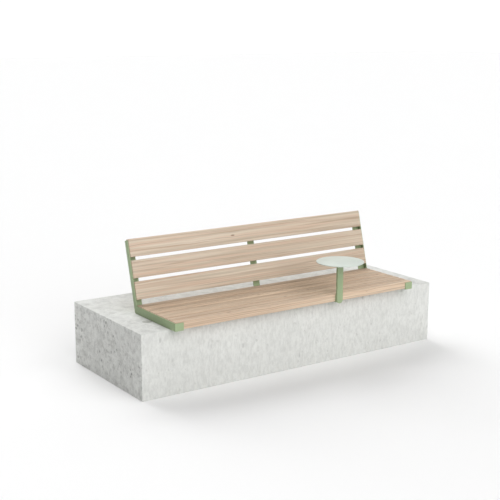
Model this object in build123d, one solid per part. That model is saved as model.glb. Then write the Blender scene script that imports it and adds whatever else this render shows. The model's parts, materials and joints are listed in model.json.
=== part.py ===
from build123d import *
import math
import os

# Concrete block bench with a slatted timber seat and back, three steel frames
# and a small round side table. Millimetres, +Z up, front towards -Y.
# The origin is the middle of the block's underside.

# ---------------------------------------------------------------- block
plinth_length = 2500.0
plinth_depth = 985.0
plinth_height = 450.0
plinth_chamfer = 4.0

# ---------------------------------------------------------------- bench, overall
bench_length = 2044.0       # over the outer faces of the side plates
bench_shift = -18.0         # bench middle, left of the block's middle
timber_overhang = 64.0      # front slat ahead of the block's front face
back_lean = 15.1            # degrees from upright
back_start = 81.0           # along the lean, from the bend to the lowest board

# ---------------------------------------------------------------- steel
plate = 6.0                 # thickness of every bar and plate in the frames
bar_width = 54.0            # flat bars under the seat and behind the back
pad_thickness = 2.0         # packers between the frames and the block
pad_length = 60.0
cap_width = 66.0            # end plates at the front corners of the seat
side_drop = 6.0             # seat slats stand this much above the side plates
board_proud = 7.0           # back boards stand this much ahead of the side plates
back_bar_short = 8.0        # steel stops this much below the top board's edge
outer_bend = 12.0           # rounding of a side plate's lower rear corner
middle_frame_shift = -7.0   # middle frame, left of the bench's middle
middle_bar_setback = 20.0   # middle seat bar's end, behind the front slat's face

# ---------------------------------------------------------------- timber
slat_count = 8
slat_width = 57.5
slat_gap = 8.0
slat_thickness = 52.0
slat_round = 3.0
board_count = 3
board_height = 125.0
board_gap = 21.5
board_thickness = 37.0
board_round = 3.0
end_clearance = 1.0         # between a timber end and its side plate

# ---------------------------------------------------------------- table
table_diameter = 336.0
table_thickness = 6.0
table_height = 750.0        # top face above the ground
table_x = 301.0             # right of the block's middle
post_width = 52.0
post_thickness = 16.0
post_foot = 445.0           # lowest point of the rounded foot above the ground
bracket_reach = 122.0       # of the bracket's foot under the front slat
head_diameter = 130.0
head_thickness = 5.0
head_bolt_circle = 92.0

# ---------------------------------------------------------------- fasteners
hole_clearance = 0.2        # on the diameter, round every shank
seat_screw = 6.0
seat_screw_length = 45.0
seat_screw_head = 12.0
back_screw = 6.0
back_screw_length = 38.0
back_screw_head = 11.0
back_screw_head_height = 3.3
back_screw_spacing = 75.0   # two screws in each board on each bar
anchor = 8.0
anchor_length = 60.0
anchor_head = 16.0
socket_diameter = 16.0
socket_length = 65.0
socket_floor = 4.0
bracket_screw = 6.0
bracket_screw_length = 40.0
bracket_screw_head = 11.0
table_screw = 5.0
table_screw_length = 9.0
table_screw_head = 9.5
table_screw_head_height = 2.7
plug_diameter = 64.0        # mortar plug over the lifting socket in the block's top
plug_depth = 30.0
plug_x = -1072.0
plug_inset = 243.0          # behind the block's front edge

# ---------------------------------------------------------------- derived places
front_edge = -plinth_depth / 2
left_face = bench_shift - bench_length / 2
right_face = bench_shift + bench_length / 2
frame_underside = plinth_height + pad_thickness
bar_top = frame_underside + plate
seat_top = bar_top + slat_thickness
side_top = seat_top - side_drop
slat_front = front_edge - timber_overhang
slat_pitch = slat_width + slat_gap
seat_depth = slat_count * slat_pitch - slat_gap
timber_length = bench_length - 2 * (plate + end_clearance)

lean = math.radians(back_lean)
post_rear = slat_front - plate
post_front = post_rear - post_thickness
post_middle = post_rear - post_thickness / 2
bend_gap = 11.5             # between the rear slat and the back bars
bend_y = slat_front + seat_depth + bend_gap + plate / math.cos(lean)
bend = Plane(
    origin=(0, bend_y, bar_top),
    x_dir=(1, 0, 0),
    z_dir=(0, -math.cos(lean), math.sin(lean)),
).location
board_face = plate + board_thickness
side_face = board_face - board_proud
board_pitch = board_height + board_gap
back_height = back_start + board_count * board_pitch - board_gap

frame_x = {
    "left": left_face + plate + bar_width / 2,
    "middle": bench_shift + middle_frame_shift,
    "right": right_face - plate - bar_width / 2,
}
anchor_gaps = (1, 6)        # anchors sit under these gaps between slats


def slat_y(index):
    """Middle of a seat slat, counted from the front."""
    return slat_front + slat_width / 2 + index * slat_pitch


def gap_y(index):
    """Middle of the gap behind a seat slat."""
    return slat_y(index) + slat_pitch / 2


def board_up(index):
    """Middle of a back board along the lean, counted from the bottom."""
    return back_start + board_height / 2 + index * board_pitch


def up_cylinder(diameter, height, x, y, z):
    """Cylinder standing on its lower face at x, y, z."""
    return Pos(x, y, z + height / 2) * Cylinder(diameter / 2, height)


def countersunk(shank, head, length):
    """Screw pointing down from the middle of its flush head at the origin."""
    cone = (head - shank) / 2
    rim = 0.6
    body = Pos(0, 0, -length / 2) * Cylinder(shank / 2, length)
    flat = Pos(0, 0, -rim / 2) * Cylinder(head / 2, rim)
    taper = Pos(0, 0, -rim - cone / 2) * Rot(180, 0, 0) * Cone(head / 2, shank / 2, cone)
    return body + flat + taper


def hex_socket(across_flats, depth):
    """Tool recess going down from the origin."""
    across_corners = across_flats / math.cos(math.pi / 6)
    return extrude(RegularPolygon(across_corners / 2, 6), amount=-depth)


def button(shank, head, head_height, length):
    """Screw pointing down from the underside of its rounded head at the origin."""
    cap = Pos(0, 0, head_height / 2) * Cylinder(head / 2, head_height)
    cap = fillet(cap.edges().group_by(Axis.Z)[-1], head_height * 0.6)
    return cap + Pos(0, 0, -length / 2) * Cylinder(shank / 2, length)


# ---------------------------------------------------------------- places of the fasteners
def seat_screw_places():
    """Screw heads flush with the underside of the seat bars, pointing up."""
    turned = Rot(180, 0, 0)
    return [
        Pos(x, slat_y(index), frame_underside) * turned
        for x in frame_x.values()
        for index in range(slat_count)
    ]


def back_screw_places():
    """Screw heads behind the back bars, pointing forward."""
    turned = Rot(180, 0, 0)
    return [
        bend * Pos(x, board_up(index) + side * back_screw_spacing / 2, 0) * turned
        for x in frame_x.values()
        for index in range(board_count)
        for side in (-1, 1)
    ]


def anchor_places():
    """Anchor heads flush with the top of the seat bars, pointing down."""
    return [
        Pos(x, gap_y(index), bar_top)
        for x in frame_x.values()
        for index in anchor_gaps
    ]


def bracket_screw_places():
    """Screw heads flush with the underside of the table bracket, pointing up."""
    turned = Rot(180, 0, 0)
    return [
        Pos(table_x + side * post_width / 4, slat_y(index), frame_underside) * turned
        for side in (-1, 1)
        for index in (0, 1)
    ]


def table_screw_places():
    """Screw heads under the head plate, pointing up."""
    turned = Rot(180, 0, 0)
    underside = table_height - table_thickness - head_thickness
    reach = head_bolt_circle / 2
    return [
        Pos(table_x + reach * math.cos(angle), post_middle + reach * math.sin(angle), underside)
        * turned
        for angle in (math.radians(45 + 90 * turn) for turn in range(4))
    ]


def shank_holes(places, diameter, length):
    """Clearance holes that follow a set of fasteners."""
    hole = Pos(0, 0, -length / 2) * Cylinder((diameter + hole_clearance) / 2, length)
    return [place * hole for place in places]


def sunk_holes(places, shank, head, length):
    """Countersunk clearance holes that follow a set of fasteners."""
    hole = countersunk(shank + hole_clearance, head + hole_clearance, length)
    return [place * hole for place in places]


def cut(body, holes):
    """Cut only the holes that reach the body, so that each piece stays quick to build."""
    box = body.bounding_box()
    for hole in holes:
        near = hole.bounding_box()
        apart = (
            near.min.X > box.max.X or near.max.X < box.min.X
            or near.min.Y > box.max.Y or near.max.Y < box.min.Y
            or near.min.Z > box.max.Z or near.max.Z < box.min.Z
        )
        if not apart:
            body -= hole
    return body


# ---------------------------------------------------------------- sub-parts
def make_plinth():
    block = Pos(0, 0, plinth_height / 2) * Box(plinth_length, plinth_depth, plinth_height)
    block = chamfer(block.edges(), plinth_chamfer)
    for x in frame_x.values():
        for index in anchor_gaps:
            floor = plinth_height - socket_length
            block -= up_cylinder(
                socket_diameter + hole_clearance, socket_length, x, gap_y(index), floor
            )
    plug_y = front_edge + plug_inset
    block -= up_cylinder(
        plug_diameter + hole_clearance, plug_depth, plug_x, plug_y, plinth_height - plug_depth
    )
    return block


def make_lifting_plug():
    plug_y = front_edge + plug_inset
    return up_cylinder(plug_diameter, plug_depth, plug_x, plug_y, plinth_height - plug_depth)


def make_sockets():
    sockets = []
    floor = plinth_height - socket_length
    bore_depth = socket_length - socket_floor
    for x in frame_x.values():
        for index in anchor_gaps:
            body = up_cylinder(socket_diameter, socket_length, x, gap_y(index), floor)
            body -= up_cylinder(
                anchor + hole_clearance, bore_depth, x, gap_y(index), floor + socket_floor
            )
            sockets.append(body)
    return Compound(children=sockets)


def make_pads():
    pads = []
    for x in frame_x.values():
        for index in anchor_gaps:
            pad = Pos(x, gap_y(index), plinth_height + pad_thickness / 2) * Box(
                bar_width, pad_length, pad_thickness
            )
            pad -= up_cylinder(
                anchor + hole_clearance, pad_thickness, x, gap_y(index), plinth_height
            )
            pads.append(pad)
    return Compound(children=pads)


def make_seat_bar(x, setback=0.0):
    front = slat_front + setback
    length = bend_y - front
    bar = Pos(x, front + length / 2, frame_underside + plate / 2) * Box(
        bar_width, length, plate
    )
    holes = sunk_holes(seat_screw_places(), seat_screw, seat_screw_head, seat_screw_length)
    holes += sunk_holes(anchor_places(), anchor, anchor_head, anchor_length)
    return cut(bar, holes)


def make_back_bar(x):
    top = back_height - back_bar_short
    foot = -plate
    bar = bend * Pos(x, (top + foot) / 2, plate / 2) * Box(bar_width, top - foot, plate)
    below = Pos(x, bend_y, bar_top - plate) * Box(2 * bar_width, bar_width, 2 * plate)
    holes = shank_holes(back_screw_places(), back_screw, back_screw_length)
    return cut(bar - below, holes)


def back_yz(up, forward):
    """Point of the leaning back in the upright Y-Z plane."""
    y = bend_y + up * math.sin(lean) - forward * math.cos(lean)
    z = bar_top + up * math.cos(lean) + forward * math.sin(lean)
    return y, z


def make_side_plate(inner_x):
    """L-shaped plate that closes the ends of the seat and back timber."""
    top = back_height - back_bar_short
    rear_foot_y = bend_y - (bar_top - frame_underside) * math.tan(lean)
    corner_up = (side_top - bar_top - side_face * math.sin(lean)) / math.cos(lean)
    outline = Polyline(
        (slat_front, frame_underside),
        (rear_foot_y, frame_underside),
        back_yz(top, 0),
        back_yz(top, side_face),
        back_yz(corner_up, side_face),
        (slat_front, side_top),
        close=True,
    )
    face = make_face(Plane.YZ * outline)
    body = Pos(inner_x, 0, 0) * extrude(face, amount=plate)
    along_x = body.edges().filter_by(Axis.X)
    rear_foot = along_x.sort_by(lambda edge: (edge.center().Y - edge.center().Z))[-1]
    body = fillet(rear_foot, outer_bend)
    tips = body.edges().filter_by(Axis.X).group_by(Axis.Z)
    return fillet([tips[-1][0], tips[-2][0]], plate / 2)


def make_front_cap(x):
    """Plate that closes the front corner of the seat."""
    height = side_top - frame_underside
    cap = Pos(x, slat_front - plate / 2, frame_underside + height / 2) * Box(
        cap_width, plate, height
    )
    front_edges = cap.edges().filter_by(Axis.Z).group_by(Axis.Y)[0]
    return fillet(front_edges, plate / 2)


def timber(length, width, thickness, rounding):
    """Plank along X with its four long edges rounded."""
    plank = Box(length, width, thickness)
    return fillet(plank.edges().filter_by(Axis.X), rounding)


def make_seat_slat(index):
    slat = Pos(bench_shift, slat_y(index), bar_top + slat_thickness / 2) * timber(
        timber_length, slat_width, slat_thickness, slat_round
    )
    holes = shank_holes(seat_screw_places(), seat_screw, seat_screw_length)
    holes += shank_holes(bracket_screw_places(), bracket_screw, bracket_screw_length)
    return cut(slat, holes)


def make_back_board(index):
    board = bend * Pos(bench_shift, board_up(index), plate + board_thickness / 2) * timber(
        timber_length, board_height, board_thickness, board_round
    )
    holes = shank_holes(back_screw_places(), back_screw, back_screw_length)
    return cut(board, holes)


def make_table_top():
    underside = table_height - table_thickness
    top = up_cylinder(table_diameter, table_thickness, table_x, post_middle, underside)
    top = fillet(top.edges(), table_thickness / 4)
    return cut(top, shank_holes(table_screw_places(), table_screw, table_screw_length))


def make_head_plate():
    underside = table_height - table_thickness - head_thickness
    head = up_cylinder(head_diameter, head_thickness, table_x, post_middle, underside)
    return cut(head, shank_holes(table_screw_places(), table_screw, table_screw_length))


def make_table_post():
    """Flat bar with a half-round foot, standing against the bracket."""
    radius = post_width / 2
    top = table_height - table_thickness - head_thickness
    shoulder = post_foot + radius
    shaft = Pos(0, (shoulder + top) / 2) * Rectangle(post_width, top - shoulder)
    foot = Pos(0, shoulder) * Circle(radius)
    rear = Plane.XZ.offset(-post_rear)
    post = Pos(table_x, 0, 0) * extrude(rear * (shaft + foot), amount=post_thickness)
    upright_edges = post.edges().filter_by(Axis.Z)
    post = fillet(upright_edges, post_thickness / 8)
    return post


def make_table_bracket():
    """Angle that hooks under the front slat and carries the post."""
    leg_height = slat_thickness + plate - side_drop
    leg = Pos(table_x, slat_front - plate / 2, frame_underside + leg_height / 2) * Box(
        post_width, plate, leg_height
    )
    foot = Pos(table_x, slat_front + bracket_reach / 2, frame_underside + plate / 2) * Box(
        post_width, bracket_reach, plate
    )
    angle = leg + foot
    outer = angle.edges().filter_by(Axis.X).sort_by(lambda edge: edge.center().Y + edge.center().Z)[0]
    angle = fillet(outer, plate * 0.8)
    holes = sunk_holes(
        bracket_screw_places(), bracket_screw, bracket_screw_head, bracket_screw_length
    )
    return cut(angle, holes)


# ---------------------------------------------------------------- fastener groups
def group(places, fastener):
    return Compound(children=[place * fastener for place in places])


def make_seat_screws():
    screw = countersunk(seat_screw, seat_screw_head, seat_screw_length)
    return group(seat_screw_places(), screw - hex_socket(4.0, 2.5))


def make_back_screws():
    screw = button(back_screw, back_screw_head, back_screw_head_height, back_screw_length)
    socket = Pos(0, 0, back_screw_head_height) * hex_socket(4.0, 2.0)
    return group(back_screw_places(), screw - socket)


def make_anchor_bolts():
    bolt = countersunk(anchor, anchor_head, anchor_length)
    return group(anchor_places(), bolt - hex_socket(5.0, 3.5))


def make_bracket_screws():
    screw = countersunk(bracket_screw, bracket_screw_head, bracket_screw_length)
    return group(bracket_screw_places(), screw - hex_socket(4.0, 2.5))


def make_table_screws():
    screw = button(table_screw, table_screw_head, table_screw_head_height, table_screw_length)
    socket = Pos(0, 0, table_screw_head_height) * hex_socket(3.0, 1.6)
    return group(table_screw_places(), screw - socket)


# ---------------------------------------------------------------- all nodes
def build():
    nodes = {
        "plinth": make_plinth(),
        "lifting_socket_plug": make_lifting_plug(),
        "cast_in_sockets": make_sockets(),
        "frame_pads": make_pads(),
        "anchor_bolts": make_anchor_bolts(),
        "side_plate_left": make_side_plate(left_face),
        "side_plate_right": make_side_plate(right_face - plate),
        "front_cap_left": make_front_cap(left_face + cap_width / 2),
        "front_cap_right": make_front_cap(right_face - cap_width / 2),
        "seat_screws": make_seat_screws(),
        "back_screws": make_back_screws(),
        "table_top": make_table_top(),
        "table_head_plate": make_head_plate(),
        "table_post": make_table_post(),
        "table_bracket": make_table_bracket(),
        "table_bracket_screws": make_bracket_screws(),
        "table_top_screws": make_table_screws(),
    }
    for place, x in frame_x.items():
        setback = middle_bar_setback if place == "middle" else 0.0
        nodes["seat_bar_" + place] = make_seat_bar(x, setback)
        nodes["back_bar_" + place] = make_back_bar(x)
    for index in range(slat_count):
        nodes["seat_slat_" + str(index + 1)] = make_seat_slat(index)
    for index in range(board_count):
        nodes["back_board_" + str(index + 1)] = make_back_board(index)
    return nodes


os.makedirs("parts", exist_ok=True)
for name, shape in build().items():
    export_step(shape, "parts/" + name + ".step")
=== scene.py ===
import json
import math
import bpy
from mathutils import Matrix, Vector


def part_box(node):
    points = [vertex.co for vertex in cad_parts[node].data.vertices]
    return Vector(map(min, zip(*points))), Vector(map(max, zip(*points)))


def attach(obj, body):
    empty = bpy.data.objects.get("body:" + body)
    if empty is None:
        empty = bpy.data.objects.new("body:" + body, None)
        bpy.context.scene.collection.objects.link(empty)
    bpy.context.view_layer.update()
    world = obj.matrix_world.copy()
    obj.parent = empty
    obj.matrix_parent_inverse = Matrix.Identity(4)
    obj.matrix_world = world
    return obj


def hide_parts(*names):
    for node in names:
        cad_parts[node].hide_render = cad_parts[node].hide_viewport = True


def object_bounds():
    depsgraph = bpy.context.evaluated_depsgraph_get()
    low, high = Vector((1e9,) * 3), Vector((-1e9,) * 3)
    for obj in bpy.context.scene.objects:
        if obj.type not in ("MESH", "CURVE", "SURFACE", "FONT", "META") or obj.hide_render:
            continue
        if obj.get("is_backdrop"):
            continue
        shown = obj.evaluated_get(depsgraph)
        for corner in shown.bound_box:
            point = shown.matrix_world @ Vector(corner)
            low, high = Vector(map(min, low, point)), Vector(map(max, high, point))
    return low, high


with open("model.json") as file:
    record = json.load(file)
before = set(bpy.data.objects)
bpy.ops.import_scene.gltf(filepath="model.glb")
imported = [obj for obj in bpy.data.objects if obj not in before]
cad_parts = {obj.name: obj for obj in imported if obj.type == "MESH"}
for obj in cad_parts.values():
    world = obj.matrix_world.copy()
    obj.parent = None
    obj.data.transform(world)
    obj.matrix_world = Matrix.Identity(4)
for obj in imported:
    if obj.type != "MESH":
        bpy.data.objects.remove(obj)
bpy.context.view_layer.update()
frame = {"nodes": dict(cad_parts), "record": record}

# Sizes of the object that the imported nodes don't state directly, in metres.
BACK_LEAN = math.radians(15.1)
BOARD_THICKNESS = 0.037
PLATE_FACE = 0.036          # width of a side plate's leaning leg
PLATE_TIP = 0.003           # rounding at the top of that leg
PLATE_HEEL = 0.012          # rounding of the lower rear corner
SLAT_COUNT = 8
BOARD_COUNT = 3

# Eased edges and the shape of the mortar, in metres, and the sides of the round pieces.
TIMBER_EASE = 0.003
BLOCK_EASE = 0.004
STEEL_EASE = 0.0008
TABLE_EASE = 0.0012
PLUG_CROWN = 0.0008         # height of the mortar's first step above the block
PLUG_RIM = 0.004
PLUG_SLOPE = 0.012
PLUG_SIDES = 64
TABLE_SIDES = 160

# Angles between two faces: shaded as one below the first two, eased above the last two.
SMOOTH_BELOW = math.radians(35)
BLOCK_SMOOTH_BELOW = math.radians(50)
EASE_ABOVE = math.radians(40)
RIM_ABOVE = math.radians(60)

# How closely a picked edge's place and a picked face's direction have to agree.
SAME_LINE = 1e-6
SAME_PLACE = 1e-5
FACING = 0.9
FACING_UPWARDS = 0.5

# Depth of each finish's relief, in metres.
TIMBER_RELIEF = 0.0004
CAST_RELIEF = 0.0008
MORTAR_RELIEF = 0.0015
COAT_RELIEF = 0.00012
SCRATCH_RELIEF = 0.00003
PACKER_RELIEF = 0.0001

# Brightness of a coat's paler patches and of the scratches in bare metal.
COAT_PALER = 1.10
SCRATCH_DARKER = 0.7

# Colours as linear red, green, blue, alpha.
SEAT_DARK = (0.525, 0.400, 0.295, 1)
SEAT_PALE = (0.76, 0.620, 0.470, 1)
SEAT_PINK = (0.705, 0.515, 0.370, 1)
BACK_DARK = (0.555, 0.465, 0.36, 1)
BACK_PALE = (0.70, 0.60, 0.485, 1)
BACK_PINK = (0.668, 0.487, 0.365, 1)
RING_BROWN = (0.36, 0.235, 0.155, 1)
KNOT_BROWN = (0.20, 0.10, 0.06, 1)
PORE_BROWN = (0.30, 0.19, 0.11, 1)
CAST_DARK = (0.745, 0.752, 0.725, 1)
CAST_PALE = (0.790, 0.797, 0.770, 1)
CAST_MOTTLE = (0.55, 0.555, 0.53, 1)
CAST_STREAK = (0.575, 0.58, 0.555, 1)
CAST_SPOT = (0.40, 0.40, 0.38, 1)
CAST_DRIP = (0.22, 0.22, 0.21, 1)
CAST_PIT = (0.16, 0.16, 0.15, 1)
CAST_SAND = (0.35, 0.35, 0.33, 1)
MORTAR_DARK = (0.40, 0.40, 0.375, 1)
MORTAR_PALE = (0.49, 0.49, 0.46, 1)
STEEL_GREEN = (0.313, 0.400, 0.226, 1)
STEEL_DUST = (0.45, 0.50, 0.38, 1)
TABLE_GREEN = (0.576, 0.632, 0.574, 1)
TABLE_DUST = (0.67, 0.69, 0.67, 1)
STAINLESS_GREY = (0.60, 0.60, 0.59, 1)
ZINC_GREY = (0.52, 0.54, 0.56, 1)
PACKER_DARK = (0.018, 0.018, 0.018, 1)
PACKER_PALE = (0.045, 0.045, 0.045, 1)
FLOOR_DARK = (0.925, 0.925, 0.925, 1)
FLOOR_PALE = (0.93, 0.93, 0.93, 1)
WHITE = (1, 1, 1, 1)

# Planks are numbered on, so that each has grain of its own. The slats' tones run from the
# front one to the back one, against the seat's own colour. Besides each slat's own tone they
# hold painted light and shade; the back slat's low tone is painted shade under the lowest board.
FIRST_SLAT_PLANK = 41
FIRST_BOARD_PLANK = 20
SLAT_TONES_AND_PAINTED_LIGHT = (1.03, 0.97, 1.01, 1.03, 1.14, 1.03, 1.20, 0.86)
BOARD_TONE = 1.0

# Studio: metres, with millimetres for the lens and sensor and degrees for the angles.
FLOOR_SIZE = 120
LENS = 76.64
SENSOR = 36
VIEW_DEPTH = 200
CAMERA_PLACE = (-4.348, -6.2335, 2.401)
CAMERA_TURN = -34.42
CAMERA_DIP = 12.16
CAMERA_ROLL = 0.19
SOFT_SPREAD = 40
BACKDROP = 1.05


# ------------------------------------------------------------------ node helpers
def link(tree, source, target):
    tree.links.new(source, target)


def math_node(tree, operation, first, second):
    """Math node; first and second are sockets or numbers."""
    node = tree.nodes.new("ShaderNodeMath")
    node.operation = operation
    for socket, value in zip(node.inputs, (first, second)):
        if isinstance(value, (int, float)):
            socket.default_value = value
        else:
            link(tree, value, socket)
    return node.outputs[0]


def times(tree, first, second):
    return math_node(tree, "MULTIPLY", first, second)


def plus(tree, first, second):
    return math_node(tree, "ADD", first, second)


def ramp(tree, value, stops):
    """Colour ramp over (position, grey) stops, used as a mask."""
    node = tree.nodes.new("ShaderNodeValToRGB")
    elements = node.color_ramp.elements
    while len(elements) < len(stops):
        elements.new(0.5)
    for element, (position, grey) in zip(elements, stops):
        element.position = position
        element.color = (grey, grey, grey, 1)
    link(tree, value, node.inputs[0])
    return node.outputs[0]


def stretched(tree, vector, scale, turn=(0, 0, 0), shift=(0, 0, 0)):
    """Vector turned, shifted and scaled by a Mapping node."""
    node = tree.nodes.new("ShaderNodeMapping")
    node.inputs["Location"].default_value = shift
    node.inputs["Rotation"].default_value = turn
    node.inputs["Scale"].default_value = scale
    link(tree, vector, node.inputs["Vector"])
    return node.outputs[0]


def vector_sum(tree, first, second):
    node = tree.nodes.new("ShaderNodeVectorMath")
    node.operation = "ADD"
    link(tree, first, node.inputs[0])
    link(tree, second, node.inputs[1])
    return node.outputs[0]


def noise(tree, vector, scale, detail=2.0, roughness=0.5, distortion=0.0):
    node = tree.nodes.new("ShaderNodeTexNoise")
    node.inputs["Scale"].default_value = scale
    node.inputs["Detail"].default_value = detail
    node.inputs["Roughness"].default_value = roughness
    node.inputs["Distortion"].default_value = distortion
    link(tree, vector, node.inputs["Vector"])
    return node.outputs["Fac"]


def cells(tree, vector, scale):
    """Distance to the nearest scattered point."""
    node = tree.nodes.new("ShaderNodeTexVoronoi")
    node.inputs["Scale"].default_value = scale
    link(tree, vector, node.inputs["Vector"])
    return node.outputs["Distance"]


def mix(tree, mask, first, second, blend="MIX"):
    """Mix two colours by a mask; each may be a socket, a number or a colour."""
    node = tree.nodes.new("ShaderNodeMix")
    node.data_type = "RGBA"
    node.blend_type = blend
    factor, _, _, _, _, _, a, b = node.inputs[:8]
    for socket, value in ((factor, mask), (a, first), (b, second)):
        if isinstance(value, (int, float, tuple)):
            socket.default_value = value
        else:
            link(tree, value, socket)
    return node.outputs["Result"]


def group(name, inputs, outputs):
    """Empty shader node group; every output is a number that changes over the surface."""
    tree = bpy.data.node_groups.new(name, "ShaderNodeTree")
    for label, kind in inputs:
        tree.interface.new_socket(name=label, in_out="INPUT", socket_type=kind)
    for label in outputs:
        tree.interface.new_socket(name=label, in_out="OUTPUT", socket_type="NodeSocketFloat")
    start = tree.nodes.new("NodeGroupInput")
    end = tree.nodes.new("NodeGroupOutput")
    return tree, start.outputs, end.inputs


def grey(tree, value):
    """Colour with the same value in each channel."""
    node = tree.nodes.new("ShaderNodeCombineColor")
    for socket in node.inputs:
        link(tree, value, socket)
    return node.outputs[0]


def place_group(tree, grouped, **sources):
    """Group placed in a material, with a socket joined to each named input."""
    node = tree.nodes.new("ShaderNodeGroup")
    node.node_tree = grouped
    for label, source in sources.items():
        link(tree, source, node.inputs[label])
    return node.outputs


def new_material(name):
    """Material with its nodes, its shader and the place on the piece."""
    material = bpy.data.materials.new(name)
    material.use_nodes = True
    tree = material.node_tree
    shader = tree.nodes["Principled BSDF"]
    place = tree.nodes.new("ShaderNodeTexCoord").outputs["Object"]
    return material, tree, shader, place


def attribute(tree, name):
    """Number stored on the piece under this name."""
    node = tree.nodes.new("ShaderNodeAttribute")
    node.attribute_name = name
    return node.outputs["Fac"]


def bump(tree, shader, height, distance, strength=1.0):
    node = tree.nodes.new("ShaderNodeBump")
    node.inputs["Distance"].default_value = distance
    node.inputs["Strength"].default_value = strength
    link(tree, height, node.inputs["Height"])
    link(tree, node.outputs[0], shader.inputs["Normal"])


# ------------------------------------------------------------------ shared effects
def make_timber_grain():
    """Grain of sawn pine along X. Plank gives each board its own piece of the tree."""
    tree, given, result = group(
        "timber grain",
        [("Place", "NodeSocketVector"), ("Plank", "NodeSocketFloat")],
        ["Streaks", "Warmth", "Rings", "Knots", "Pores", "Tone"],
    )
    shift = tree.nodes.new("ShaderNodeCombineXYZ")
    for socket, step in zip(shift.inputs, (7.31, 1.73, 0.59)):
        link(tree, times(tree, given["Plank"], step), socket)
    moved = vector_sum(tree, given["Place"], shift.outputs[0])

    # Knots: a few small dark spots with the grain running round them.
    knot_distance = cells(tree, stretched(tree, moved, (3.6, 11.0, 10.0)), 1.0)
    knots = ramp(tree, knot_distance, ((0.0, 1), (0.045, 0.8), (0.075, 0.0), (1, 0)))
    swirl = ramp(tree, knot_distance, ((0.0, 1), (0.10, 0.45), (0.35, 0.0), (1, 0)))

    # The grain wanders a little across each board.
    wander = noise(tree, stretched(tree, moved, (1.1, 3.0, 3.0)), 1.0, 2.0)
    bend = tree.nodes.new("ShaderNodeCombineXYZ")
    link(tree, times(tree, wander, 0.020), bend.inputs[1])
    link(tree, times(tree, swirl, 0.010), bend.inputs[2])
    curved = vector_sum(tree, moved, bend.outputs[0])

    # Streaks and Warmth: long bands of paler or darker, and of pinker or greyer wood.
    link(tree, noise(tree, stretched(tree, curved, (1.2, 84, 84)), 1.0, 2.0, 0.6), result["Streaks"])
    aside = stretched(tree, curved, (1.0, 68, 68), shift=(3.7, 2.1, 5.3))
    link(tree, noise(tree, aside, 1.0, 2.0, 0.55), result["Warmth"])

    # Rings: thin darker late-wood lines.
    rings = noise(tree, stretched(tree, curved, (0.8, 130, 150)), 1.0, 1.0, 0.5)
    link(tree, ramp(tree, rings, ((0.52, 0), (0.64, 1))), result["Rings"])
    link(tree, noise(tree, stretched(tree, moved, (22, 900, 900)), 1.0, 3.0, 0.6), result["Pores"])
    link(tree, knots, result["Knots"])
    link(tree, noise(tree, stretched(tree, moved, (0.35, 0.4, 0.4)), 1.0, 1.0), result["Tone"])
    return tree


def make_cast_surface():
    """Clouds, spots, upright streaks, blow-holes and fine sand of a cast face."""
    tree, given, result = group(
        "cast surface",
        [("Place", "NodeSocketVector")],
        ["Cloud", "Mottle", "Spot", "Upright", "Pit", "Drip", "Sand"],
    )
    place = given["Place"]
    link(tree, noise(tree, place, 2.6, 4.0, 0.6, 0.4), result["Cloud"])
    link(tree, noise(tree, place, 15.0, 4.0, 0.75, 0.4), result["Mottle"])
    link(tree, noise(tree, place, 34.0, 3.0, 0.7), result["Spot"])
    upright = noise(tree, stretched(tree, place, (64, 64, 25)), 1.0, 3.0, 0.65)
    link(tree, upright, result["Upright"])

    # Blow-holes: ragged dark pits, more in some places than in others.
    ragged = ramp(tree, noise(tree, place, 55.0, 2.0), ((0.40, 0.2), (0.60, 1)))
    small = ramp(tree, cells(tree, place, 20.0), ((0.0, 1), (0.14, 1), (0.26, 0), (1, 0)))
    large = ramp(tree, cells(tree, place, 7.0), ((0.0, 1), (0.08, 0.9), (0.13, 0), (1, 0)))
    chance = ramp(tree, noise(tree, place, 4.2, 2.0), ((0.44, 0), (0.54, 1)))
    pits = times(tree, math_node(tree, "MAXIMUM", small, large), chance)
    link(tree, times(tree, pits, ragged), result["Pit"])

    # Drips: short upright dark marks on the long faces.
    uneven = noise(tree, place, 30.0, 2.0)
    drips = cells(tree, stretched(tree, place, (15, 15, 6.5)), 1.0)
    drips = times(tree, drips, plus(tree, uneven, 0.5))
    drips = ramp(tree, drips, ((0.0, 1), (0.08, 0.8), (0.17, 0), (1, 0)))
    rare = ramp(tree, noise(tree, place, 6.3, 2.0), ((0.53, 0), (0.66, 1)))
    link(tree, times(tree, drips, rare), result["Drip"])
    link(tree, noise(tree, place, 420.0, 2.0, 0.7), result["Sand"])
    return tree


def make_coat_texture():
    """Fine orange-peel of a baked coat, a slow change of tone, and dust."""
    tree, given, result = group(
        "coat texture",
        [("Place", "NodeSocketVector")],
        ["Peel", "Tone", "Dust"],
    )
    place = given["Place"]
    link(tree, noise(tree, place, 900.0, 2.0, 0.6), result["Peel"])
    link(tree, noise(tree, place, 6.0, 3.0, 0.6), result["Tone"])
    link(tree, noise(tree, place, 60.0, 4.0, 0.7), result["Dust"])
    return tree


TIMBER_GRAIN = make_timber_grain()
CAST_SURFACE = make_cast_surface()
COAT_TEXTURE = make_coat_texture()


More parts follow.
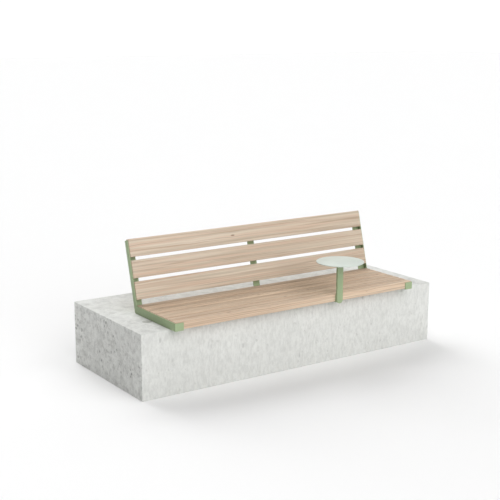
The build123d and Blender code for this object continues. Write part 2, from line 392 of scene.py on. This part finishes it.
# ------------------------------------------------------------------ materials
def timber_material(name, turn, dark, pale, pink):
    """Pale oiled pine; turn lays the grain's cross-section along a leaning board."""
    material, tree, shader, place = new_material(name)
    grain = place_group(
        tree, TIMBER_GRAIN,
        Place=stretched(tree, place, (1, 1, 1), turn=(turn, 0, 0)),
        Plank=attribute(tree, "plank"),
    )
    colour = mix(tree, ramp(tree, grain["Streaks"], ((0.39, 0), (0.61, 1))), dark, pale)
    colour = mix(tree, ramp(tree, grain["Warmth"], ((0.44, 0), (0.66, 0.85))), colour, pink)
    colour = mix(tree, ramp(tree, grain["Tone"], ((0.4, 0), (0.6, 0.30))), colour, dark)
    colour = mix(tree, times(tree, grain["Rings"], 0.46), colour, RING_BROWN)
    colour = mix(tree, times(tree, grain["Knots"], 0.80), colour, KNOT_BROWN)
    pores = ramp(tree, grain["Pores"], ((0.60, 0), (0.75, 0.18)))
    colour = mix(tree, pores, colour, PORE_BROWN)
    # Multiply by the plank's stored tone; on the seat slats this is partly painted light and shade.
    colour = mix(tree, 1.0, colour, grey(tree, attribute(tree, "tone")), "MULTIPLY")
    link(tree, colour, shader.inputs["Base Color"])
    rough = times(tree, grain["Streaks"], 0.12)
    link(tree, plus(tree, rough, 0.55), shader.inputs["Roughness"])
    height = plus(tree, times(tree, grain["Rings"], 0.5), grain["Pores"])
    bump(tree, shader, height, TIMBER_RELIEF, 0.5)
    shader.inputs["Specular IOR Level"].default_value = 0.35
    return material


def concrete_material():
    """Fair-faced pale grey concrete, spotted on the end faces and streaked on the long ones."""
    material, tree, shader, place = new_material("fair-faced concrete")
    cast = place_group(tree, CAST_SURFACE, Place=place)
    end_face = attribute(tree, "end_face")
    long_face = attribute(tree, "long_face")
    cloud = ramp(tree, cast["Cloud"], ((0.36, 0), (0.66, 1)))
    colour = mix(tree, cloud, CAST_DARK, CAST_PALE)

    # The mottle nearly fades out on the long faces, which have streaks and drips instead.
    mottle = ramp(tree, cast["Mottle"], ((0.34, 0.75), (0.58, 0)))
    fade = math_node(tree, "SUBTRACT", 1.0, times(tree, long_face, 0.85))
    colour = mix(tree, times(tree, mottle, fade), colour, CAST_MOTTLE)
    upright = ramp(tree, cast["Upright"], ((0.34, 0.55), (0.60, 0)))
    colour = mix(tree, times(tree, upright, long_face), colour, CAST_STREAK)

    # Spots and pits are few except on the end faces.
    spots = ramp(tree, cast["Spot"], ((0.34, 0.70), (0.52, 0)))
    spots = times(tree, spots, plus(tree, times(tree, end_face, 0.75), 0.12))
    colour = mix(tree, spots, colour, CAST_SPOT)
    drips = times(tree, cast["Drip"], times(tree, long_face, 0.55))
    colour = mix(tree, drips, colour, CAST_DRIP)
    pits = times(tree, cast["Pit"], plus(tree, times(tree, end_face, 0.65), 0.12))
    colour = mix(tree, pits, colour, CAST_PIT)
    sand = ramp(tree, cast["Sand"], ((0.35, 0.12), (0.65, 0)))
    colour = mix(tree, sand, colour, CAST_SAND)
    link(tree, colour, shader.inputs["Base Color"])
    rough = times(tree, cast["Mottle"], 0.15)
    link(tree, plus(tree, rough, 0.75), shader.inputs["Roughness"])
    height = plus(tree, times(tree, cast["Pit"], -4.0), times(tree, cast["Sand"], 0.6))
    bump(tree, shader, plus(tree, height, cast["Spot"]), CAST_RELIEF, 0.6)
    shader.inputs["Specular IOR Level"].default_value = 0.3
    return material


def mortar_material():
    """Trowelled mortar in the lifting point, darker than the block."""
    material, tree, shader, place = new_material("trowelled mortar")
    cast = place_group(tree, CAST_SURFACE, Place=stretched(tree, place, (2, 2, 2)))
    mottle = ramp(tree, cast["Mottle"], ((0.38, 0), (0.62, 1)))
    colour = mix(tree, mottle, MORTAR_DARK, MORTAR_PALE)
    link(tree, colour, shader.inputs["Base Color"])
    shader.inputs["Roughness"].default_value = 0.9
    bump(tree, shader, cast["Mottle"], MORTAR_RELIEF, 0.8)
    return material


def coat_material(name, colour, dusty, roughness):
    """Baked powder coat with a little dust on it."""
    material, tree, shader, place = new_material(name)
    coat = place_group(tree, COAT_TEXTURE, Place=place)
    paler = tuple(min(1, channel * COAT_PALER) for channel in colour[:3]) + (1,)
    base = mix(tree, ramp(tree, coat["Tone"], ((0.35, 0), (0.65, 1))), colour, paler)
    base = mix(tree, ramp(tree, coat["Dust"], ((0.50, 0), (0.80, 0.25))), base, dusty)
    link(tree, base, shader.inputs["Base Color"])
    rough = times(tree, coat["Dust"], 0.10)
    link(tree, plus(tree, rough, roughness), shader.inputs["Roughness"])
    bump(tree, shader, coat["Peel"], COAT_RELIEF, 0.6)
    return material


def metal_material(name, colour, roughness):
    """Bare stainless or zinc-plated steel with fine scratches."""
    material, tree, shader, place = new_material(name)
    scratches = noise(tree, stretched(tree, place, (400, 2600, 2600)), 1.0, 2.0)
    darker = tuple(channel * SCRATCH_DARKER for channel in colour[:3]) + (1,)
    base = mix(tree, ramp(tree, scratches, ((0.40, 0), (0.60, 0.3))), colour, darker)
    link(tree, base, shader.inputs["Base Color"])
    shader.inputs["Metallic"].default_value = 1.0
    rough = times(tree, scratches, 0.2)
    link(tree, plus(tree, rough, roughness), shader.inputs["Roughness"])
    bump(tree, shader, scratches, SCRATCH_RELIEF, 0.5)
    return material


def packer_material():
    """Black plastic packers."""
    material, tree, shader, place = new_material("packer plastic")
    speckle = noise(tree, place, 500.0, 2.0)
    base = mix(tree, speckle, PACKER_DARK, PACKER_PALE)
    link(tree, base, shader.inputs["Base Color"])
    shader.inputs["Roughness"].default_value = 0.6
    bump(tree, shader, speckle, PACKER_RELIEF, 0.5)
    return material


def floor_material():
    """Matt pale floor."""
    material, tree, shader, place = new_material("studio floor")
    soft = noise(tree, place, 0.8, 1.0)
    base = mix(tree, soft, FLOOR_DARK, FLOOR_PALE)
    link(tree, base, shader.inputs["Base Color"])
    shader.inputs["Roughness"].default_value = 1.0
    shader.inputs["Specular IOR Level"].default_value = 0.0
    return material


# ------------------------------------------------------------------ modelling helpers
def start_edit(piece, mode):
    """Edit the piece by its faces, edges or corners."""
    bpy.ops.object.select_all(action="DESELECT")
    piece.select_set(True)
    bpy.context.view_layer.objects.active = piece
    bpy.ops.object.mode_set(mode="EDIT")
    bpy.ops.mesh.select_mode(type=mode)


def end_edit():
    bpy.ops.object.mode_set(mode="OBJECT")


def new_box(name, low, high):
    """Cube primitive between two corners, with its place in its mesh."""
    bpy.ops.object.select_all(action="DESELECT")
    bpy.ops.mesh.primitive_cube_add(size=1, location=(0, 0, 0))
    piece = bpy.context.object
    piece.name = name
    piece.scale = high - low
    piece.location = (high + low) / 2
    bpy.ops.object.transform_apply(location=True, rotation=True, scale=True)
    return piece


def new_disc(name, low, high, sides):
    """Upright round piece that fills the box between two corners."""
    bpy.ops.object.select_all(action="DESELECT")
    bpy.ops.mesh.primitive_cylinder_add(
        vertices=sides,
        radius=(high.x - low.x) / 2,
        depth=high.z - low.z,
        location=(low + high) / 2,
    )
    piece = bpy.context.object
    piece.name = name
    bpy.ops.object.transform_apply(location=True, rotation=True, scale=True)
    return piece


def dress(piece, material):
    """Give the whole piece one material."""
    piece.data.materials.clear()
    piece.data.materials.append(material)


def give_number(piece, name, value):
    """Store one number over the whole piece for its material to read."""
    stored = piece.data.attributes.get(name)
    if stored is None:
        stored = piece.data.attributes.new(name, "FLOAT", "POINT")
    stored.data.foreach_set("value", [value] * len(piece.data.vertices))


def hand_over(piece, node):
    """The piece rides on the object in place of its plain solid."""
    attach(piece, "root")
    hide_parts(node)


def pick_faces(piece, wanted):
    """Select the faces whose middle passes the test, then edit them."""
    start_edit(piece, "FACE")
    bpy.ops.mesh.select_all(action="DESELECT")
    end_edit()
    for face in piece.data.polygons:
        face.select = wanted(face.center, face.normal)
    start_edit(piece, "FACE")


def pick_edges(piece, wanted):
    """Select the edges along X whose middle passes the test, then edit them."""
    start_edit(piece, "EDGE")
    bpy.ops.mesh.select_all(action="DESELECT")
    end_edit()
    corners = piece.data.vertices
    for edge in piece.data.edges:
        first, second = (corners[index].co for index in edge.vertices)
        along_x = abs(first.y - second.y) + abs(first.z - second.z) < SAME_LINE
        edge.select = along_x and wanted((first + second) / 2)
    start_edit(piece, "EDGE")


def near(point, y, z):
    """True where a point on an edge along X lies at y, z."""
    return abs(point.y - y) + abs(point.z - z) < SAME_PLACE


# ------------------------------------------------------------------ timber
def make_plank(name, low, high):
    """Planed plank with all its edges eased."""
    piece = new_box(name, low, high)
    start_edit(piece, "EDGE")
    bpy.ops.mesh.select_all(action="SELECT")
    bpy.ops.mesh.bevel(offset=TIMBER_EASE, segments=3, affect="EDGES")
    end_edit()
    bpy.ops.object.shade_smooth_by_angle(angle=SMOOTH_BELOW)
    return piece


def plank_copy(plank):
    """Another plank in the same place, with a mesh of its own."""
    piece = plank.copy()
    piece.data = plank.data.copy()
    bpy.context.collection.objects.link(piece)
    return piece


def make_seat(material):
    """Slats side by side, each copied from the first."""
    low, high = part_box("seat_slat_1")
    first = make_plank("slat", low, high)
    for index in range(SLAT_COUNT):
        node = "seat_slat_" + str(index + 1)
        slat = plank_copy(first) if index else first
        slat.data.transform(Matrix.Translation(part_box(node)[0] - low))
        slat.name = "slat_" + str(index + 1)
        give_number(slat, "plank", FIRST_SLAT_PLANK + index)
        # The slat's tone is partly painted light and shade; the back slat's is painted shade.
        give_number(slat, "tone", SLAT_TONES_AND_PAINTED_LIGHT[index])
        dress(slat, material)
        hand_over(slat, node)


def make_back(material):
    """Boards made upright at the origin, then leaned back and moved to their places."""
    low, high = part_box("back_board_1")
    tall = (high.z - low.z - BOARD_THICKNESS * math.sin(BACK_LEAN)) / math.cos(BACK_LEAN)
    half = Vector((high.x - low.x, BOARD_THICKNESS, tall)) / 2
    lean = Matrix.Rotation(-BACK_LEAN, 4, "X")
    boards = [make_plank("board", -half, half)]
    while len(boards) < BOARD_COUNT:
        boards.append(plank_copy(boards[0]))
    for index, board in enumerate(boards):
        node = "back_board_" + str(index + 1)
        low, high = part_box(node)
        board.data.transform(Matrix.Translation((low + high) / 2) @ lean)
        board.name = "board_" + str(index + 1)
        give_number(board, "plank", FIRST_BOARD_PLANK + index)
        give_number(board, "tone", BOARD_TONE)
        dress(board, material)
        hand_over(board, node)


# ------------------------------------------------------------------ block
def number_faces(piece, name, choose):
    """Store one number per face, found from the face's outward direction."""
    stored = piece.data.attributes.new(name, "FLOAT", "FACE")
    for face, entry in zip(piece.data.polygons, stored.data):
        entry.value = choose(face.normal)


def make_block(material):
    """Cast block with its edges eased; its finish differs on end faces and long faces."""
    low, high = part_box("plinth")
    block = new_box("block", low, high)
    start_edit(block, "EDGE")
    bpy.ops.mesh.select_all(action="SELECT")
    bpy.ops.mesh.bevel(offset=BLOCK_EASE, segments=2, affect="EDGES")
    end_edit()
    bpy.ops.object.shade_smooth_by_angle(angle=BLOCK_SMOOTH_BELOW)
    number_faces(block, "end_face", lambda normal: abs(normal.x))
    number_faces(block, "long_face", lambda normal: abs(normal.y))
    dress(block, material)
    hand_over(block, "plinth")


def make_plug(material):
    """Mortar struck off by hand, standing a hair proud and rounded over at its rim."""
    low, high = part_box("lifting_socket_plug")
    plug = new_disc("mortar_plug", low, high, PLUG_SIDES)
    pick_faces(plug, lambda middle, normal: normal.z > FACING)
    bpy.ops.mesh.inset(thickness=PLUG_RIM)
    bpy.ops.transform.translate(value=(0, 0, PLUG_CROWN))
    bpy.ops.mesh.inset(thickness=PLUG_SLOPE)
    bpy.ops.transform.translate(value=(0, 0, PLUG_CROWN / 2))
    end_edit()
    bpy.ops.object.shade_smooth_by_angle(angle=SMOOTH_BELOW)
    dress(plug, material)
    hand_over(plug, "lifting_socket_plug")


# ------------------------------------------------------------------ side plates
def make_side_plate(node, material):
    """L-shaped plate: the seat leg, then the leaning leg drawn up out of its rear end."""
    low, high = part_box(node)
    leg_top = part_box("front_cap_left")[1].z
    up = Vector((0, math.sin(BACK_LEAN), math.cos(BACK_LEAN)))
    forward = Vector((0, -math.cos(BACK_LEAN), math.sin(BACK_LEAN)))
    rounding = PLATE_TIP * (up.y + up.z - 1)
    rear_tip = Vector((0, high.y + rounding, high.z + rounding - PLATE_FACE * forward.z))
    front_tip = rear_tip + forward * PLATE_FACE
    rise = (front_tip.z - leg_top) / up.z
    inner = front_tip - up * rise
    outer = rear_tip - up * rise
    heel_y = rear_tip.y - (rear_tip.z - low.z) * math.tan(BACK_LEAN)

    piece = new_box(node + "_shaped", low, Vector((high.x, inner.y, leg_top)))
    pick_faces(piece, lambda middle, normal: normal.y > FACING)
    bpy.ops.mesh.extrude_region_move(
        TRANSFORM_OT_translate={"value": (0, heel_y - inner.y, 0)}
    )
    end_edit()
    pick_edges(piece, lambda middle: near(middle, heel_y, leg_top))
    bpy.ops.transform.translate(value=(0, outer.y - heel_y, outer.z - leg_top))
    end_edit()
    pick_faces(piece, lambda middle, normal: normal.z > FACING_UPWARDS and middle.y > inner.y)
    bpy.ops.mesh.extrude_region_move(TRANSFORM_OT_translate={"value": up * rise})
    end_edit()
    pick_edges(piece, lambda middle: near(middle, heel_y, low.z))
    bpy.ops.mesh.bevel(offset=PLATE_HEEL, offset_type="WIDTH", segments=8, affect="EDGES")
    end_edit()
    pick_edges(piece, lambda middle: middle.z > outer.z + rise / 2)
    bpy.ops.mesh.bevel(offset=PLATE_TIP, segments=6, affect="EDGES")
    end_edit()
    ease = piece.modifiers.new("ease", "BEVEL")
    ease.width = STEEL_EASE
    ease.segments = 2
    ease.limit_method = "ANGLE"
    ease.angle_limit = EASE_ABOVE
    bpy.ops.object.modifier_apply(modifier="ease")
    bpy.ops.object.shade_smooth_by_angle(angle=SMOOTH_BELOW)
    dress(piece, material)
    hand_over(piece, node)


# ------------------------------------------------------------------ table
def make_table_top(material):
    """Round plate with its rim eased above and below."""
    low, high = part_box("table_top")
    top = new_disc("round_top", low, high, TABLE_SIDES)
    start_edit(top, "EDGE")
    bpy.ops.mesh.select_all(action="DESELECT")
    bpy.ops.mesh.edges_select_sharp(sharpness=RIM_ABOVE)
    bpy.ops.mesh.bevel(offset=TABLE_EASE, segments=3, affect="EDGES")
    end_edit()
    bpy.ops.object.shade_smooth_by_angle(angle=SMOOTH_BELOW)
    dress(top, material)
    hand_over(top, "table_top")


# ------------------------------------------------------------------ carried-over nodes
def dress_nodes(materials):
    """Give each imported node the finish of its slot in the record."""
    slots = {part["node"]: part["material_slot"] for part in frame["record"]["subparts"]}
    for node, piece in frame["nodes"].items():
        dress(piece, materials[slots[node]])


# ------------------------------------------------------------------ studio
def make_floor(material):
    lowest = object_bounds()[0].z
    bpy.ops.object.select_all(action="DESELECT")
    bpy.ops.mesh.primitive_plane_add(size=FLOOR_SIZE, location=(0, 0, lowest))
    floor = bpy.context.object
    floor.name = "studio_floor"
    dress(floor, material)
    floor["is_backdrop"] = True


def make_camera():
    data = bpy.data.cameras.new("studio camera")
    data.lens = LENS
    data.sensor_width = SENSOR
    data.clip_end = VIEW_DEPTH
    camera = bpy.data.objects.new("studio camera", data)
    bpy.context.collection.objects.link(camera)
    aim = Matrix.Rotation(math.radians(CAMERA_TURN), 4, "Z")
    aim = aim @ Matrix.Rotation(math.radians(90 - CAMERA_DIP), 4, "X")
    aim = aim @ Matrix.Rotation(math.radians(CAMERA_ROLL), 4, "Z")
    camera.matrix_world = Matrix.Translation(CAMERA_PLACE) @ aim
    bpy.context.scene.camera = camera


def sun(name, azimuth, elevation, strength):
    """Soft light from a direction: azimuth 0 is in front of the bench, 90 is +X."""
    data = bpy.data.lights.new(name, "SUN")
    data.energy = strength
    data.angle = math.radians(SOFT_SPREAD)
    lamp = bpy.data.objects.new(name, data)
    bpy.context.collection.objects.link(lamp)
    turn = math.radians(azimuth)
    rise = math.radians(elevation)
    towards = Vector((
        math.sin(turn) * math.cos(rise), -math.cos(turn) * math.cos(rise), math.sin(rise)
    ))
    lamp.rotation_euler = towards.to_track_quat("Z", "Y").to_euler()


def make_world():
    """White backdrop to the eye that adds no light of its own."""
    world = bpy.data.worlds.new("studio")
    bpy.context.scene.world = world
    world.use_nodes = True
    tree = world.node_tree
    tree.nodes.clear()
    seen = tree.nodes.new("ShaderNodeBackground")
    seen.inputs["Color"].default_value = WHITE
    seen.inputs["Strength"].default_value = BACKDROP
    glow = tree.nodes.new("ShaderNodeBackground")
    glow.inputs["Color"].default_value = WHITE
    glow.inputs["Strength"].default_value = 0.0
    path = tree.nodes.new("ShaderNodeLightPath")
    choose = tree.nodes.new("ShaderNodeMixShader")
    output = tree.nodes.new("ShaderNodeOutputWorld")
    link(tree, path.outputs["Is Camera Ray"], choose.inputs[0])
    link(tree, glow.outputs[0], choose.inputs[1])
    link(tree, seen.outputs[0], choose.inputs[2])
    link(tree, choose.outputs[0], output.inputs["Surface"])


def make_lights():
    """Soft light from all round, strongest from behind and weakest from the left."""
    sun("low front", 0, 15, 0.80)
    sun("front", 0, 36, 0.90)
    sun("front right", 45, 46, 0.71)
    sun("front left", 315, 55, 0.43)
    sun("low back", 180, 15, 1.11)
    sun("back", 180, 45, 1.33)
    sun("back right", 135, 35, 0.55)
    sun("back left", 225, 35, 0.40)


# ------------------------------------------------------------------ all together
materials = {
    "concrete": concrete_material(),
    "mortar": mortar_material(),
    "seat_timber": timber_material("seat timber", 0.0, SEAT_DARK, SEAT_PALE, SEAT_PINK),
    "back_timber": timber_material("back timber", BACK_LEAN, BACK_DARK, BACK_PALE, BACK_PINK),
    "frame_paint": coat_material("frame coat", STEEL_GREEN, STEEL_DUST, 0.42),
    "table_paint": coat_material("table coat", STEEL_GREEN, STEEL_DUST, 0.42),
    "stainless": metal_material("stainless steel", STAINLESS_GREY, 0.28),
    "zinc_steel": metal_material("zinc plate", ZINC_GREY, 0.38),
    "packer_plastic": packer_material(),
}
dress_nodes(materials)
make_seat(materials["seat_timber"])
make_back(materials["back_timber"])
make_block(materials["concrete"])
make_plug(materials["mortar"])
make_side_plate("side_plate_left", materials["frame_paint"])
make_side_plate("side_plate_right", materials["frame_paint"])
make_table_top(coat_material("table top coat", TABLE_GREEN, TABLE_DUST, 0.38))
make_floor(floor_material())
make_camera()
make_world()
make_lights()
bpy.context.scene.view_settings.view_transform = "Standard"
